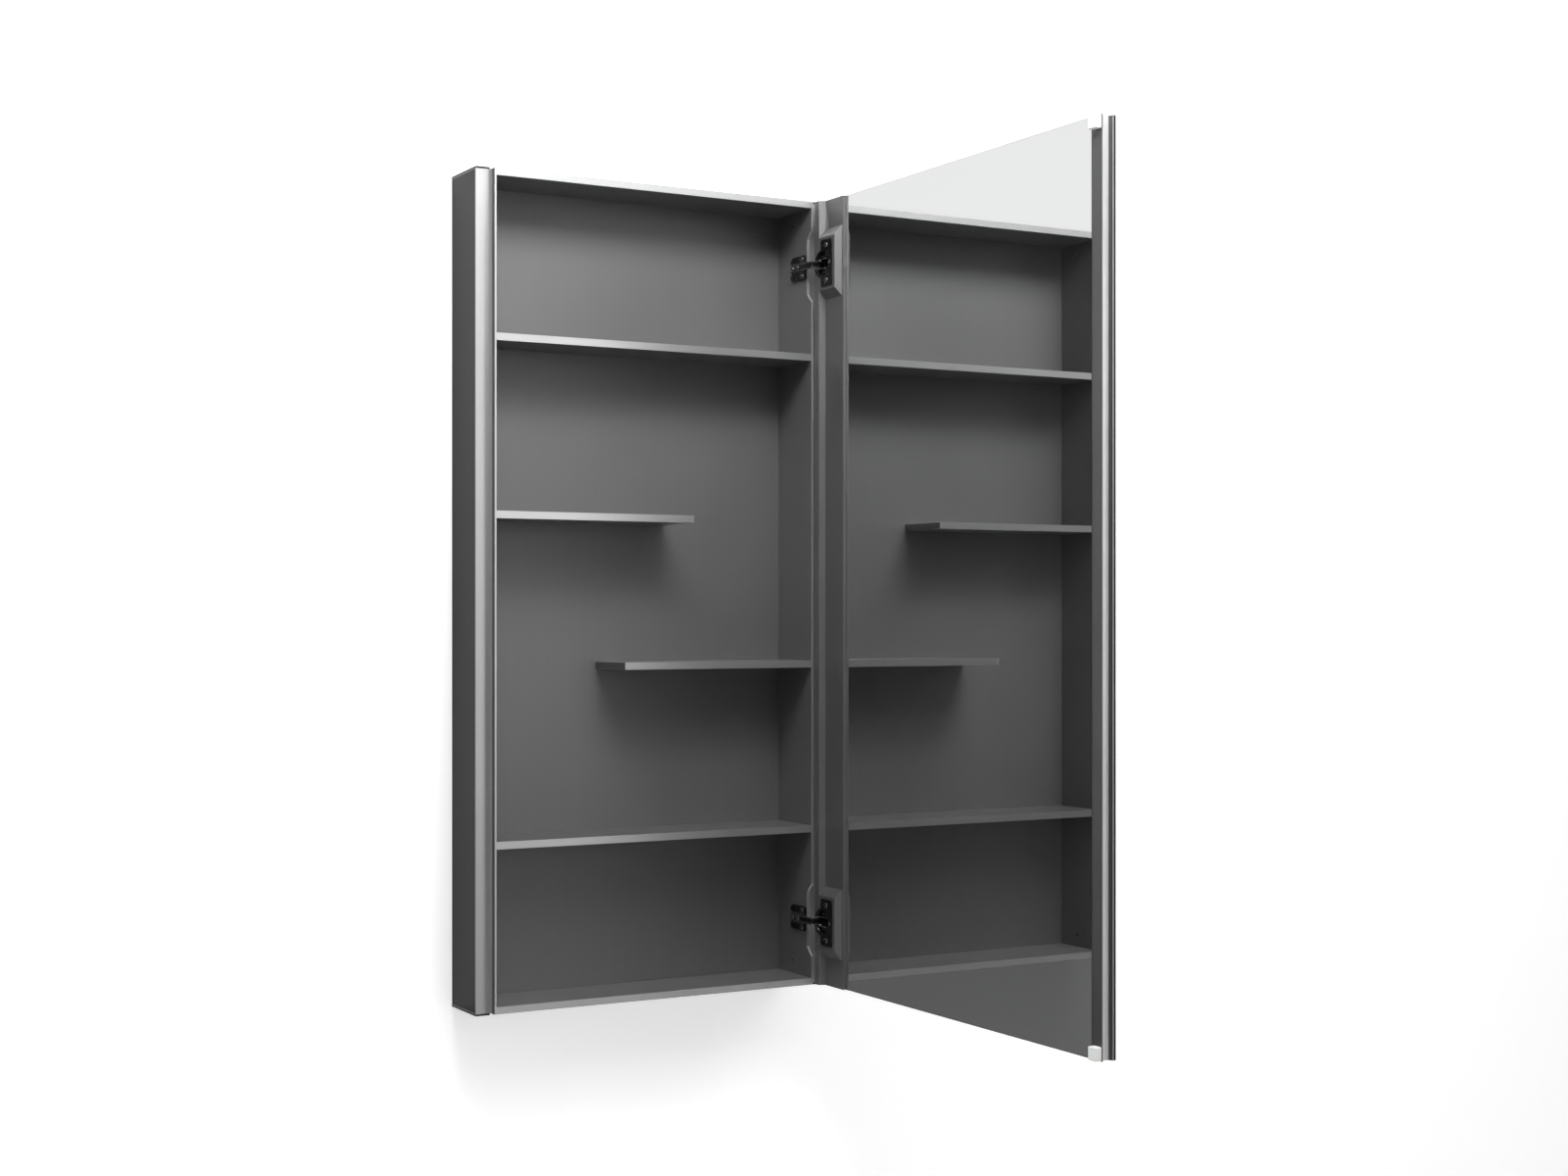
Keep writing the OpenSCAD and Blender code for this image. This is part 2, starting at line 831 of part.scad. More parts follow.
// Cup, rim and ear plate, hollowed for the arm
module hinge_cup(z) {
    rim_r = cup_r + rim_w;
    top_v = -rib_h - ear_t;
    hollow_r = cup_r - bowl_wall;
    reach = arm_reach + arm_gap;
    color(colour_black)
        in_door()
            translate([0, 0, z])
                difference() {
                    union() {
                        translate([-rib_h - small, -cup_u, 0])
                            along_x() cylinder(r = cup_r, h = cup_bottom + rib_h + small);
                        translate([top_v, -cup_u, 0])
                            along_x() cylinder(r = rim_r, h = ear_t);
                        door_block(top_v, -rib_h, ear_u - ear_w / 2, ear_u + ear_w / 2, ear_l);
                    }
                    // Open bowl above the arm's cheeks
                    translate([top_v - 1, -cup_u, 0])
                        along_x() cylinder(r = hollow_r, h = ear_t + 1 + rib_h / 2);
                    // Slot for the arm, deep enough for its whole swing
                    door_block(top_v - 1, hollow_v, slot_in, pivot_u + reach, slot_w);
                    door_block(top_v - 1, swing_v, -1, cup_u, slot_w);
                    translate([pivot_v, -pivot_u, 0])
                        cylinder(r = pin_r, h = pin_l, center = true);
                    ear_holes(screw_r + screw_gap, top_v - 1, -rib_h + 1);
                }
}

module hinge_cup_upper() hinge_cup(hinge_z);
module hinge_cup_lower() hinge_cup(-hinge_z);

module cup_screws() {
    color(colour_light)
        in_door()
            for (z = [-hinge_z, hinge_z], s = [-1, 1])
                translate([-rib_h - ear_t, -ear_u, z + s * ear_pitch / 2])
                    along_minus_x() pan_screw(ear_t + rib_h + stile_t);
}

module hinge_pin(z) {
    color(colour_light)
        translate([pivot_x, pivot_y, z])
            cylinder(r = pin_r, h = pin_l, center = true);
}

module hinge_pin_upper() hinge_pin(hinge_z);
module hinge_pin_lower() hinge_pin(-hinge_z);

// Edge profile with the finger pull scooped along its whole height
module free_stile() {
    color(colour_dark)
        in_door()
            translate([0, 0, -door_h / 2])
                linear_extrude(door_h)
                    difference() {
                        translate([mirror_v, -door_w])
                            square([outer_v - mirror_v, free_w]);
                        translate([outer_v - pull_v, -door_w - pull_out])
                            circle(r = pull_r);
                    }
}

module corner_bumper() {
    far_u = door_w - bumper_in;
    color("white")
        in_door()
            door_block(mirror_v - bumper_proud, mirror_v, far_u - bumper_w, far_u, bumper_h);
}

module corner_bumper_upper()
    translate([0, 0, door_h / 2 - bumper_in - bumper_h / 2]) corner_bumper();
module corner_bumper_lower()
    translate([0, 0, -door_h / 2 + bumper_in + bumper_h / 2]) corner_bumper();

back_panel();
top_panel();
bottom_panel();
left_wall();
right_wall();
left_side_cover();
right_side_cover();
side_cover_caps();
corner_screws();
back_screws();
upper_shelf();
lower_shelf();
left_half_shelf();
right_half_shelf();
half_shelf_caps();
shelf_screws();
hanging_rail();
wall_cleat();
rail_studs();
wall_pad();
hinge_plate_upper();
hinge_plate_lower();
plate_screws();
hinge_arm_upper();
hinge_arm_lower();
arm_screws();
outer_mirror();
inner_mirror();
door_core();
door_top_rail();
door_bottom_rail();
hinge_stile();
free_stile();
hinge_mount_upper();
hinge_mount_lower();
hinge_cup_upper();
hinge_cup_lower();
cup_screws();
hinge_pin_upper();
hinge_pin_lower();
corner_bumper_upper();
corner_bumper_lower();
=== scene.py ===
"""Wall-hung mirrored medicine cabinet with its door open, on a white wall."""
import json
import math

import bmesh
import bpy
from mathutils import Matrix, Vector


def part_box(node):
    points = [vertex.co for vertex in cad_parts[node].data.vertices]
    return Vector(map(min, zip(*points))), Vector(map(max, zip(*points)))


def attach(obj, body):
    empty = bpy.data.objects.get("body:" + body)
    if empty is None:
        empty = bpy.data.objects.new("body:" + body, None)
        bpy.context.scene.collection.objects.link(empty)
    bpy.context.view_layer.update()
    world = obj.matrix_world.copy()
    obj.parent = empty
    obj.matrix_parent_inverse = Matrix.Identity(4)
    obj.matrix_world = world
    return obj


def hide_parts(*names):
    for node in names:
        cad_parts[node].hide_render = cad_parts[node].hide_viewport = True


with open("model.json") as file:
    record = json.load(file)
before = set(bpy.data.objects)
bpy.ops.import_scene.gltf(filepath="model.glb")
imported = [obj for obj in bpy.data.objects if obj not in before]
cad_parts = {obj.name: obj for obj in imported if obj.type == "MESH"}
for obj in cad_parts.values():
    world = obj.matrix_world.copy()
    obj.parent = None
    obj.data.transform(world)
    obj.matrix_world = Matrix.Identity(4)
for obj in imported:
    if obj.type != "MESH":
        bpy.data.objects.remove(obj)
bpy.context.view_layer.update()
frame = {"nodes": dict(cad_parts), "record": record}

RECORD = frame["record"]
BODY = {n: b for b, nodes in RECORD["behaviour"]["bodies"].items() for n in nodes}
MM = 0.001
SHARP = math.radians(30)       # edges sharper than this are bevelled
FLAT = math.radians(0.6)       # faces flatter than this are joined
SAME = 1e-6                    # points closer than this are one point, in metres
ON_PLANE = 1e-5                # tolerance for lying in a plane, in metres
NOISE_BAND = (0.3, 0.7)        # the part of a noise's range that carries its variation


# ---------- Materials ----------

class Graph:
    """A material with a Principled shader and a few procedural helpers."""

    def __init__(self, name, metallic, **sockets):
        self.material = bpy.data.materials.new(name)
        self.material.use_nodes = True
        self.tree = self.material.node_tree
        self.shader = self.tree.nodes["Principled BSDF"]
        self.shader.inputs["Metallic"].default_value = metallic
        for socket, value in sockets.items():
            self.shader.inputs[socket.replace("_", " ")].default_value = value
        self.coord = self.tree.nodes.new("ShaderNodeTexCoord").outputs["Object"]

    def link(self, source, target):
        self.tree.links.new(source, target)

    def noise(self, scale, detail=3.0, rough=0.55):
        """Noise whose scale may differ by axis, in cycles per metre."""
        mapping = self.tree.nodes.new("ShaderNodeMapping")
        mapping.inputs["Scale"].default_value = scale
        noise = self.tree.nodes.new("ShaderNodeTexNoise")
        noise.inputs["Scale"].default_value = 1.0
        noise.inputs["Detail"].default_value = detail
        noise.inputs["Roughness"].default_value = rough
        self.link(self.coord, mapping.inputs["Vector"])
        self.link(mapping.outputs["Vector"], noise.inputs["Vector"])
        return noise.outputs["Fac"]

    def blend(self, first, second, share):
        """first and second mixed, with share of the second."""
        mix = self.tree.nodes.new("ShaderNodeMix")
        mix.data_type = "FLOAT"
        mix.inputs[0].default_value = share
        self.link(first, mix.inputs[2])
        self.link(second, mix.inputs[3])
        return mix.outputs[0]

    def colour(self, fac, dark, light):
        """Base colour that runs from dark to light over the noise."""
        ramp = self.tree.nodes.new("ShaderNodeValToRGB")
        for element, position, tone in zip(ramp.color_ramp.elements, NOISE_BAND, (dark, light)):
            element.position = position
            element.color = (*tone, 1)
        self.link(fac, ramp.inputs["Fac"])
        self.link(ramp.outputs["Color"], self.shader.inputs["Base Color"])

    def roughness(self, fac, smooth, rough):
        """Roughness that runs from smooth to rough over the noise."""
        span = self.tree.nodes.new("ShaderNodeMapRange")
        span.inputs["From Min"].default_value = NOISE_BAND[0]
        span.inputs["From Max"].default_value = NOISE_BAND[1]
        span.inputs["To Min"].default_value = smooth
        span.inputs["To Max"].default_value = rough
        self.link(fac, span.inputs["Value"])
        self.link(span.outputs["Result"], self.shader.inputs["Roughness"])

    def bump(self, fac, strength, depth):
        """Relief from the noise, with depth in metres."""
        bump = self.tree.nodes.new("ShaderNodeBump")
        bump.inputs["Strength"].default_value = strength
        bump.inputs["Distance"].default_value = depth
        self.link(fac, bump.inputs["Height"])
        self.link(bump.outputs["Normal"], self.shader.inputs["Normal"])


def grey(value, tint=0.0):
    """A neutral colour, cooler with a positive tint."""
    return (value * (1 - tint), value, value * (1 + tint))


ALONG_X = (9, 2600, 2600)      # brushing lines, in cycles per metre on each axis
ALONG_Z = (2600, 2600, 9)
BRUSHED_SPREAD = 0.1           # how far brushed tones run either way


def brushed(name, tone, grain, metallic=0.75, rough=(0.34, 0.46), specular=0.5):
    """Anodised aluminium: fine lines along one axis, soft clouding and a slight grain."""
    g = Graph(name, metallic, Specular_IOR_Level=specular)
    lines = g.noise(grain, 4.0, 0.7)
    cloud = g.noise((7, 7, 7), 2.0)
    speck = g.noise((4200, 4200, 4200), 1.0)
    mixed = g.blend(lines, cloud, 0.45)
    g.colour(mixed, grey(tone * (1 - BRUSHED_SPREAD)), grey(tone * (1 + BRUSHED_SPREAD)))
    g.roughness(g.blend(lines, speck, 0.35), *rough)
    g.bump(g.blend(lines, speck, 0.5), 0.06, 0.00004)
    return g.material


def sheet_metal(name, tone):
    """The back sheet: satin, fine-grained, with faint rolling lines and clouds."""
    g = Graph(name, 0.45)
    speck = g.noise((2400, 2400, 2400), 2.0)
    lines = g.noise((900, 900, 5), 3.0)
    cloud = g.noise((5, 5, 4), 3.0)
    g.colour(g.blend(cloud, lines, 0.4), grey(tone * 0.93), grey(tone * 1.07))
    g.roughness(g.blend(speck, cloud, 0.5), 0.42, 0.56)
    g.bump(speck, 0.08, 0.00005)
    return g.material


def mirror_face(name, tone):
    """Silvered glass with the faint haze that cleaning leaves."""
    g = Graph(name, 1.0)
    haze = g.noise((14, 3, 9), 4.0)
    film = g.noise((160, 160, 160), 2.0)
    g.colour(haze, grey(tone * 0.985, 0.004), grey(tone, 0.004))
    g.roughness(g.blend(haze, film, 0.4), 0.0, 0.014)
    return g.material


def glass_edge(name, tone):
    """Ground edge of dark glass with fine lines along it."""
    g = Graph(name, 0.0, Specular_IOR_Level=0.12)
    lines = g.noise((3000, 3000, 20), 3.0)
    g.colour(lines, grey(tone * 0.7, 0.04), grey(tone * 1.4, 0.06))
    g.roughness(lines, 0.3, 0.45)
    return g.material


def backing_paint(name, tone):
    """Matt protective paint on the hidden side of a mirror."""
    g = Graph(name, 0.0)
    roller = g.noise((420, 420, 420), 3.0)
    g.colour(roller, grey(tone * 0.85), grey(tone * 1.15))
    g.roughness(roller, 0.5, 0.75)
    g.bump(roller, 0.2, 0.0001)
    return g.material


def black_plating(name, tone, rough):
    """Blackened nickel of the hinges: glossy, mottled, with fine pressing marks."""
    g = Graph(name, 0.7, Coat_Weight=0.35, Coat_Roughness=0.15)
    mottle = g.noise((700, 700, 700), 4.0)
    marks = g.noise((1500, 1500, 160), 3.0)
    g.colour(g.blend(mottle, marks, 0.4), grey(tone * 0.6), grey(tone * 1.6))
    g.roughness(mottle, *rough)
    g.bump(g.blend(mottle, marks, 0.5), 0.12, 0.00006)
    return g.material


def bright_steel(name, tone):
    """Plated steel of screws and bars: faint rolling streaks, slightly dulled."""
    g = Graph(name, 0.9)
    streak = g.noise((60, 2200, 2200), 3.0)
    dull = g.noise((40, 40, 40), 2.0)
    g.colour(g.blend(streak, dull, 0.5), grey(tone * 0.92), grey(tone * 1.06))
    g.roughness(g.blend(streak, dull, 0.6), 0.3, 0.42)
    g.bump(streak, 0.04, 0.00003)
    return g.material


def fibre_board(name):
    """Raw fibre board: warm brown, speckled with pressed fibres."""
    g = Graph(name, 0.0)
    fibres = g.noise((900, 300, 900), 6.0, 0.75)
    patches = g.noise((30, 30, 30), 3.0)
    g.colour(g.blend(fibres, patches, 0.4), (0.28, 0.19, 0.11), (0.56, 0.43, 0.29))
    g.roughness(fibres, 0.7, 0.9)
    g.bump(fibres, 0.5, 0.0002)
    return g.material


def soft_plastic(name, tone):
    """Translucent moulded bumper, soft to the touch."""
    g = Graph(name, 0.0, Subsurface_Weight=0.25, Subsurface_Scale=0.003)
    grain = g.noise((1600, 1600, 1600), 3.0)
    cloud = g.noise((220, 220, 220), 2.0)
    g.colour(cloud, grey(tone * 0.94), grey(tone))
    g.roughness(grain, 0.3, 0.44)
    g.bump(grain, 0.1, 0.00005)
    return g.material


def black_rubber(name):
    """Moulded black rubber with a fine grain."""
    g = Graph(name, 0.0)
    grain = g.noise((1300, 1300, 1300), 4.0)
    g.colour(grain, grey(0.018), grey(0.045))
    g.roughness(grain, 0.6, 0.85)
    g.bump(grain, 0.3, 0.0001)
    return g.material


# Brushed metals: name, tone, grain, then metallic, roughness and specular where they differ
MAT = {
    "back_sheet": sheet_metal("back_sheet", 0.13),
    # Front faces of the panels and side walls, brighter than the panels and walls: painted light
    # from the front lamps
    "frame_x": brushed("front_painted_light_aluminium_x", 0.42, ALONG_X),
    "frame_z": brushed("front_painted_light_aluminium_z", 0.4, ALONG_Z),
    "frame_edge": brushed("frame_edge", 0.6, ALONG_Z, rough=(0.26, 0.38)),
    "panel": brushed("panel_aluminium", 0.17, ALONG_X, 0.5),
    # The left wall's inside is darker than the right wall of the same aluminium: painted shade
    "left_wall": brushed("left_wall_painted_shade_aluminium", 0.12, ALONG_Z, 0.5),
    "right_wall": brushed("right_wall_aluminium", 0.2, ALONG_Z, 0.6),
    "cover": brushed("cover_aluminium", 0.02, ALONG_Z, 0.2, (0.42, 0.55), 0.15),
    "cover_edge": brushed("cover_edge", 0.24, ALONG_Z, rough=(0.26, 0.38)),
    "shelf": brushed("shelf_aluminium", 0.2, ALONG_X),
    # Shelf fronts brighter than the shelves: painted light on faces turned to the room
    "shelf_front": brushed("shelf_front", 0.4, ALONG_X, 0.8, (0.27, 0.38)),
    "shelf_edge": brushed("shelf_edge", 0.5, ALONG_X, rough=(0.26, 0.38)),
    "door": brushed("door_aluminium", 0.17, ALONG_Z, 0.6),
    "strip": brushed("strip_aluminium", 0.09, ALONG_Z, 0.6),
    # End face of the free stile, far brighter than the stile: painted light on the face turned to
    # the room
    "door_end": brushed("door_end", 0.6, ALONG_Z, 0.35),
    "door_edge": brushed("door_edge", 0.42, ALONG_Z, rough=(0.26, 0.38)),
    "rail": bright_steel("rail_steel", 0.5),
    "steel": bright_steel("screw_steel", 0.55),
    "dark_screw": black_plating("screw_black", 0.12, (0.1, 0.22)),
    "hinge": black_plating("hinge_black", 0.02, (0.16, 0.3)),
    # Lighter copy of the hinge plating for the small parts: painted glints
    "hinge_painted_glint": black_plating("hinge_painted_glint", 0.12, (0.12, 0.25)),
    "mirror": mirror_face("mirror_glass", 0.85),
    "glass_edge": glass_edge("mirror_edge", 0.012),
    "backing": backing_paint("mirror_backing", 0.06),
    "board": fibre_board("core_board"),
    "bumper": soft_plastic("bumper_plastic", 0.86),
    "rubber": black_rubber("pad_rubber"),
}


# ---------- Mesh helpers ----------

def add_piece(name, mesh, nodes, materials):
    """Links a finished mesh as a piece that stands for nodes and rides on the body of the first."""
    obj = bpy.data.objects.new(name, mesh)
    bpy.context.scene.collection.objects.link(obj)
    for key in materials:
        mesh.materials.append(MAT[key])
    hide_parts(*nodes)
    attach(obj, BODY[nodes[0]])
    return obj


def cad_bmesh(node):
    """The CAD node's mesh with coplanar triangles joined again."""
    bm = bmesh.new()
    bm.from_mesh(frame["nodes"][node].data)
    bmesh.ops.remove_doubles(bm, verts=bm.verts, dist=SAME)
    bmesh.ops.dissolve_limit(bm, angle_limit=FLAT, verts=bm.verts, edges=bm.edges)
    bmesh.ops.recalc_face_normals(bm, faces=bm.faces)
    return bm


def mark_bevels(bm, skip):
    """Gives every sharp convex edge a bevel weight, except those that skip() names."""
    weight = bm.edges.layers.float.new("bevel_weight_edge")
    for edge in bm.edges:
        if len(edge.link_faces) != 2 or edge.calc_face_angle(0) < SHARP:
            continue
        if edge.is_convex and not skip(edge):
            edge[weight] = 1.0


def to_mesh(bm, name):
    """The bmesh as a smooth-shaded mesh with its sharp edges kept."""
    mesh = bpy.data.meshes.new(name)
    bm.to_mesh(mesh)
    bm.free()
    mesh.polygons.foreach_set("use_smooth", [True] * len(mesh.polygons))
    mesh.set_sharp_from_angle(angle=SHARP)
    return mesh


def finish_node(bm, node, materials):
    """Makes the bmesh the finished piece of a CAD node."""
    name = node + "_finish"
    return add_piece(name, to_mesh(bm, name), [node], materials)


FLAT_FACE_WEIGHT = 80          # how strongly large faces rule the shading normals


def add_bevel(obj, width, segments, material):
    """Bevels the weighted edges in the given material slot, with clean shading on flat faces."""
    bevel = obj.modifiers.new("bevel", "BEVEL")
    bevel.width = width
    bevel.segments = segments
    bevel.limit_method = "WEIGHT"
    bevel.material = material
    bevel.harden_normals = False
    bevel.use_clamp_overlap = True
    soft = obj.modifiers.new("weighted_normals", "WEIGHTED_NORMAL")
    soft.keep_sharp = True
    soft.weight = FLAT_FACE_WEIGHT


def never(edge):
    """Skips no edge."""
    return False


def faces_room(face):
    """Faces turned to the room, which get the painted light."""
    return face.normal.y < -0.7


def front_and_cove(face):
    """Faces of a side wall that are at least partly turned to the room, which get the painted
    light.
    """
    return face.normal.y < -0.1


MAIN, EDGE, PAINTED_LIGHT = 0, 1, 2   # slots of the materials on a finished copy; the third is a brighter tone, painted light on faces turned to the room


def finished_copy(node, main, edge, width, skip=never, segments=2, painted_light=None,
                  painted_light_if=faces_room):
    """The CAD node with softened edges: face material main, edge material edge.
    Faces that the given test picks get a third material, a brighter tone that paints the light on
    faces turned to the room."""
    bm = cad_bmesh(node)
    mark_bevels(bm, skip)
    keys = [main, edge]
    if painted_light:
        keys.append(painted_light)
        for face in bm.faces:
            face.material_index = PAINTED_LIGHT if painted_light_if(face) else MAIN
    add_bevel(finish_node(bm, node, keys), width, segments, EDGE)


def lathe(profile, steps=32):
    """A closed body of revolution about Z from (radius, height) pairs that start and end on Z."""
    bm = bmesh.new()
    rings = []
    for radius, height in profile:
        if radius == 0:
            rings.append([bm.verts.new((0, 0, height))])
            continue
        turn = [2 * math.pi * k / steps for k in range(steps)]
        rings.append([bm.verts.new((radius * math.cos(a), radius * math.sin(a), height))
                      for a in turn])
    for low, high in zip(rings, rings[1:]):
        for k in range(steps):
            quad = [low[k % len(low)], low[(k + 1) % len(low)],
                    high[(k + 1) % len(high)], high[k % len(high)]]
            corners = list(dict.fromkeys(quad))
            if len(corners) > 2:
                bm.faces.new(corners)
    bmesh.ops.recalc_face_normals(bm, faces=bm.faces)
    return bm


CORNER_STEPS = 4
CORNER_SHARE = 0.45            # the most of an edge that one rounded corner may take


def rounded(points, radius):
    """The outline with each corner rounded; points is a list of (x, y)."""
    result = []
    count = len(points)
    for k in range(count):
        here = Vector(points[k])
        to_prev = Vector(points[k - 1]) - here
        to_next = Vector(points[(k + 1) % count]) - here
        reach = min(radius, to_prev.length * CORNER_SHARE, to_next.length * CORNER_SHARE)
        start = here + to_prev.normalized() * reach
        end = here + to_next.normalized() * reach
        for s in range(CORNER_STEPS + 1):
            t = s / CORNER_STEPS
            result.append((start * (1 - t) + here * t) * (1 - t)
                          + (here * (1 - t) + end * t) * t)
    return [(p.x, p.y) for p in result]


def circle(x, y, radius, steps=24):
    """Points on a circle."""
    return [(x + radius * math.cos(2 * math.pi * k / steps),
             y + radius * math.sin(2 * math.pi * k / steps)) for k in range(steps)]


def evaluated_mesh(obj):
    """A new mesh of the object with its modifiers or curve settings applied."""
    bpy.context.view_layer.update()
    depsgraph = bpy.context.evaluated_depsgraph_get()
    return bpy.data.meshes.new_from_object(obj.evaluated_get(depsgraph))


def stamped(outline, holes, thickness, edge_round):
    """A plate centred on z = 0 with rounded edges and real holes, as a bmesh."""
    curve = bpy.data.curves.new("stamp", "CURVE")
    curve.dimensions = "2D"
    curve.fill_mode = "BOTH"
    curve.extrude = thickness / 2 - edge_round
    curve.bevel_depth = edge_round
    curve.bevel_resolution = 2
    curve.offset = -edge_round
    for loop in [outline] + holes:
        spline = curve.splines.new("POLY")
        spline.points.add(len(loop) - 1)
        for point, (x, y) in zip(spline.points, loop):
            point.co = (x, y, 0, 1)
        spline.use_cyclic_u = True
    obj = bpy.data.objects.new("stamp", curve)
    bpy.context.scene.collection.objects.link(obj)
    mesh = evaluated_mesh(obj)
    bm = bmesh.new()
    bm.from_mesh(mesh)
    bmesh.ops.remove_doubles(bm, verts=bm.verts, dist=SAME)
    bmesh.ops.recalc_face_normals(bm, faces=bm.faces)
    bpy.data.objects.remove(obj)
    bpy.data.curves.remove(curve)
    bpy.data.meshes.remove(mesh)
    return bm


def join(target, source, matrix, material=0):
    """Adds source to target, placed by matrix, and frees source."""
    bmesh.ops.transform(source, matrix=matrix, verts=source.verts)
    if matrix.determinant() < 0:
        bmesh.ops.reverse_faces(source, faces=source.faces)
    for face in source.faces:
        face.material_index = material
    mesh = bpy.data.meshes.new("join")
    source.to_mesh(mesh)
    source.free()
    target.from_mesh(mesh)
    bpy.data.meshes.remove(mesh)


def axes(x, y, z, place):
    """A matrix whose columns are the given axes and place."""
    m = Matrix((x, y, z)).transposed().to_4x4()
    m.translation = place
    return m


X, Y, Z = Vector((1, 0, 0)), Vector((0, 1, 0)), Vector((0, 0, 1))


# ---------- Screws ----------

def screw_body(head_r, head_t, shank_r, length):
    """A pan-head screw pointing along -Z with a cross recess, seated at z = 0."""
    body = lathe([(0, -length), (shank_r * 0.35, -length), (shank_r * 0.9, -length * 0.92),
                  (shank_r, -length * 0.88), (shank_r, -0.00001), (head_r, 0),
                  (head_r, head_t * 0.45), (head_r * 0.9, head_t * 0.78),
                  (head_r * 0.66, head_t * 0.96), (0, head_t)])
    mesh = bpy.data.meshes.new("screw")
    body.to_mesh(mesh)
    body.free()
    arm, wide = head_r * 0.56, head_r * 0.13
    cross = bmesh.new()
    for size in ((arm, wide), (wide, arm)):
        made = bmesh.ops.create_cube(cross, size=2)
        scale = Matrix.Diagonal((size[0], size[1], head_t * 0.6, 1))
        bmesh.ops.transform(cross, verts=made["verts"],
                            matrix=Matrix.Translation((0, 0, head_t * 1.05)) @ scale)
    cutter_mesh = bpy.data.meshes.new("recess")
    cross.to_mesh(cutter_mesh)
    cross.free()
    scene = bpy.context.scene.collection
    blank = bpy.data.objects.new("screw", mesh)
    cutter = bpy.data.objects.new("recess", cutter_mesh)
    scene.objects.link(blank)
    scene.objects.link(cutter)
    cut = blank.modifiers.new("recess", "BOOLEAN")
    cut.object = cutter
    cut.operation = "DIFFERENCE"
    cut.solver = "EXACT"
    cut.use_self = True
    made = evaluated_mesh(blank)
    bpy.data.objects.remove(blank)
    bpy.data.objects.remove(cutter)
    bpy.data.meshes.remove(mesh)
    bpy.data.meshes.remove(cutter_mesh)
    return made


def solids(node):
    """The separate solids of a CAD node, each as its list of corner points."""
    bm = bmesh.new()
    bm.from_mesh(frame["nodes"][node].data)
    bmesh.ops.remove_doubles(bm, verts=bm.verts, dist=SAME)
    seen, groups = set(), []
    for start in bm.verts:
        if start.index in seen:
            continue
        group, todo = [], [start]
        seen.add(start.index)
        while todo:
            vert = todo.pop()
            group.append(vert.co.copy())
            for edge in vert.link_edges:
                other = edge.other_vert(vert)
                if other.index not in seen:
                    seen.add(other.index)
                    todo.append(other)
        groups.append(group)
    bm.free()
    return groups


def corners(points):
    """Lowest and highest corner of the box round some points."""
    low = Vector([min(p[k] for p in points) for k in range(3)])
    high = Vector([max(p[k] for p in points) for k in range(3)])
    return low, high


SCREW_MESHES = {}              # one mesh for each size of screw
SCREW_TURN = 0.9               # spreads the turns of the recesses
TURN_LIMIT = 1.5


def screws(node, axis, material):
    """Replaces a node's plain screws, which lie along the given axis either way round."""
    along = max(range(3), key=lambda k: abs(axis[k]))
    across = [k for k in range(3) if k != along]
    bm = bmesh.new()
    for points in solids(node):
        low, high = corners(points)
        # The head is at the wider end, whichever way the screw points
        ends = [[p for p in points if abs(p[along] - end[along]) < ON_PLANE]
                for end in (low, high)]
        spans = [max(p[across[0]] for p in e) - min(p[across[0]] for p in e) for e in ends]
        up = axis.copy()
        up[along] = 1.0 if spans[1] > spans[0] else -1.0
        head_r = max(spans) / 2
        shank_r = min(spans) / 2
        wide = [p[along] for p in points
                if abs(p[across[0]] - (low[across[0]] + high[across[0]]) / 2) > head_r * 0.98]
        seat = min(wide) if up[along] > 0 else max(wide)
        total = high[along] - low[along]
        head_t = max(wide) - min(wide)
        place = (low + high) / 2
        place[along] = seat
        side = Vector([1.0 if k == across[0] else 0.0 for k in range(3)])
        key = (round(head_r, 5), round(head_t, 5), round(shank_r, 5), round(total - head_t, 5))
        if key not in SCREW_MESHES:
            SCREW_MESHES[key] = screw_body(*key)
        one = bmesh.new()
        one.from_mesh(SCREW_MESHES[key])
        twist = Matrix.Rotation(SCREW_TURN * len(bm.verts) % TURN_LIMIT, 4, "Z")
        join(bm, one, axes(side, up.cross(side), up, place) @ twist)
    finish_node(bm, node, [material])


# ---------- Mirrors ----------

GLASS_BEVEL = 0.5 * MM
SQUARE_ON = 0.999              # cosine above which a face counts as the glass's own face


def mirror_slab(node, shows):
    """A glass slab: mirror on the side that shows (+1 or -1 along X), paint behind, dark edges."""
    low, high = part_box(node)
    bm = bmesh.new()
    made = bmesh.ops.create_cube(bm, size=1)
    bmesh.ops.transform(bm, verts=made["verts"],
                        matrix=Matrix.Translation((low + high) / 2)
                        @ Matrix.Diagonal((*(high - low), 1)))
    bmesh.ops.bevel(bm, geom=bm.edges[:], offset=GLASS_BEVEL, segments=2, affect="EDGES",
                    profile=0.5)
    bmesh.ops.recalc_face_normals(bm, faces=bm.faces)
    for face in bm.faces:
        facing = face.normal.x * shows
        face.material_index = 0 if facing > SQUARE_ON else 1 if facing > -SQUARE_ON else 2
    mesh = bpy.data.meshes.new(node + "_glass")
    bm.to_mesh(mesh)
    bm.free()
    add_piece(node + "_glass", mesh, [node], ["mirror", "glass_edge", "backing"])


# ---------- Hinges ----------

HINGE_LOOK = ["hinge", "hinge_painted_glint"]
GLINT = 1                       # slot of the lighter plating, painted glints on cheeks, rivets, washers, cam and guide rails

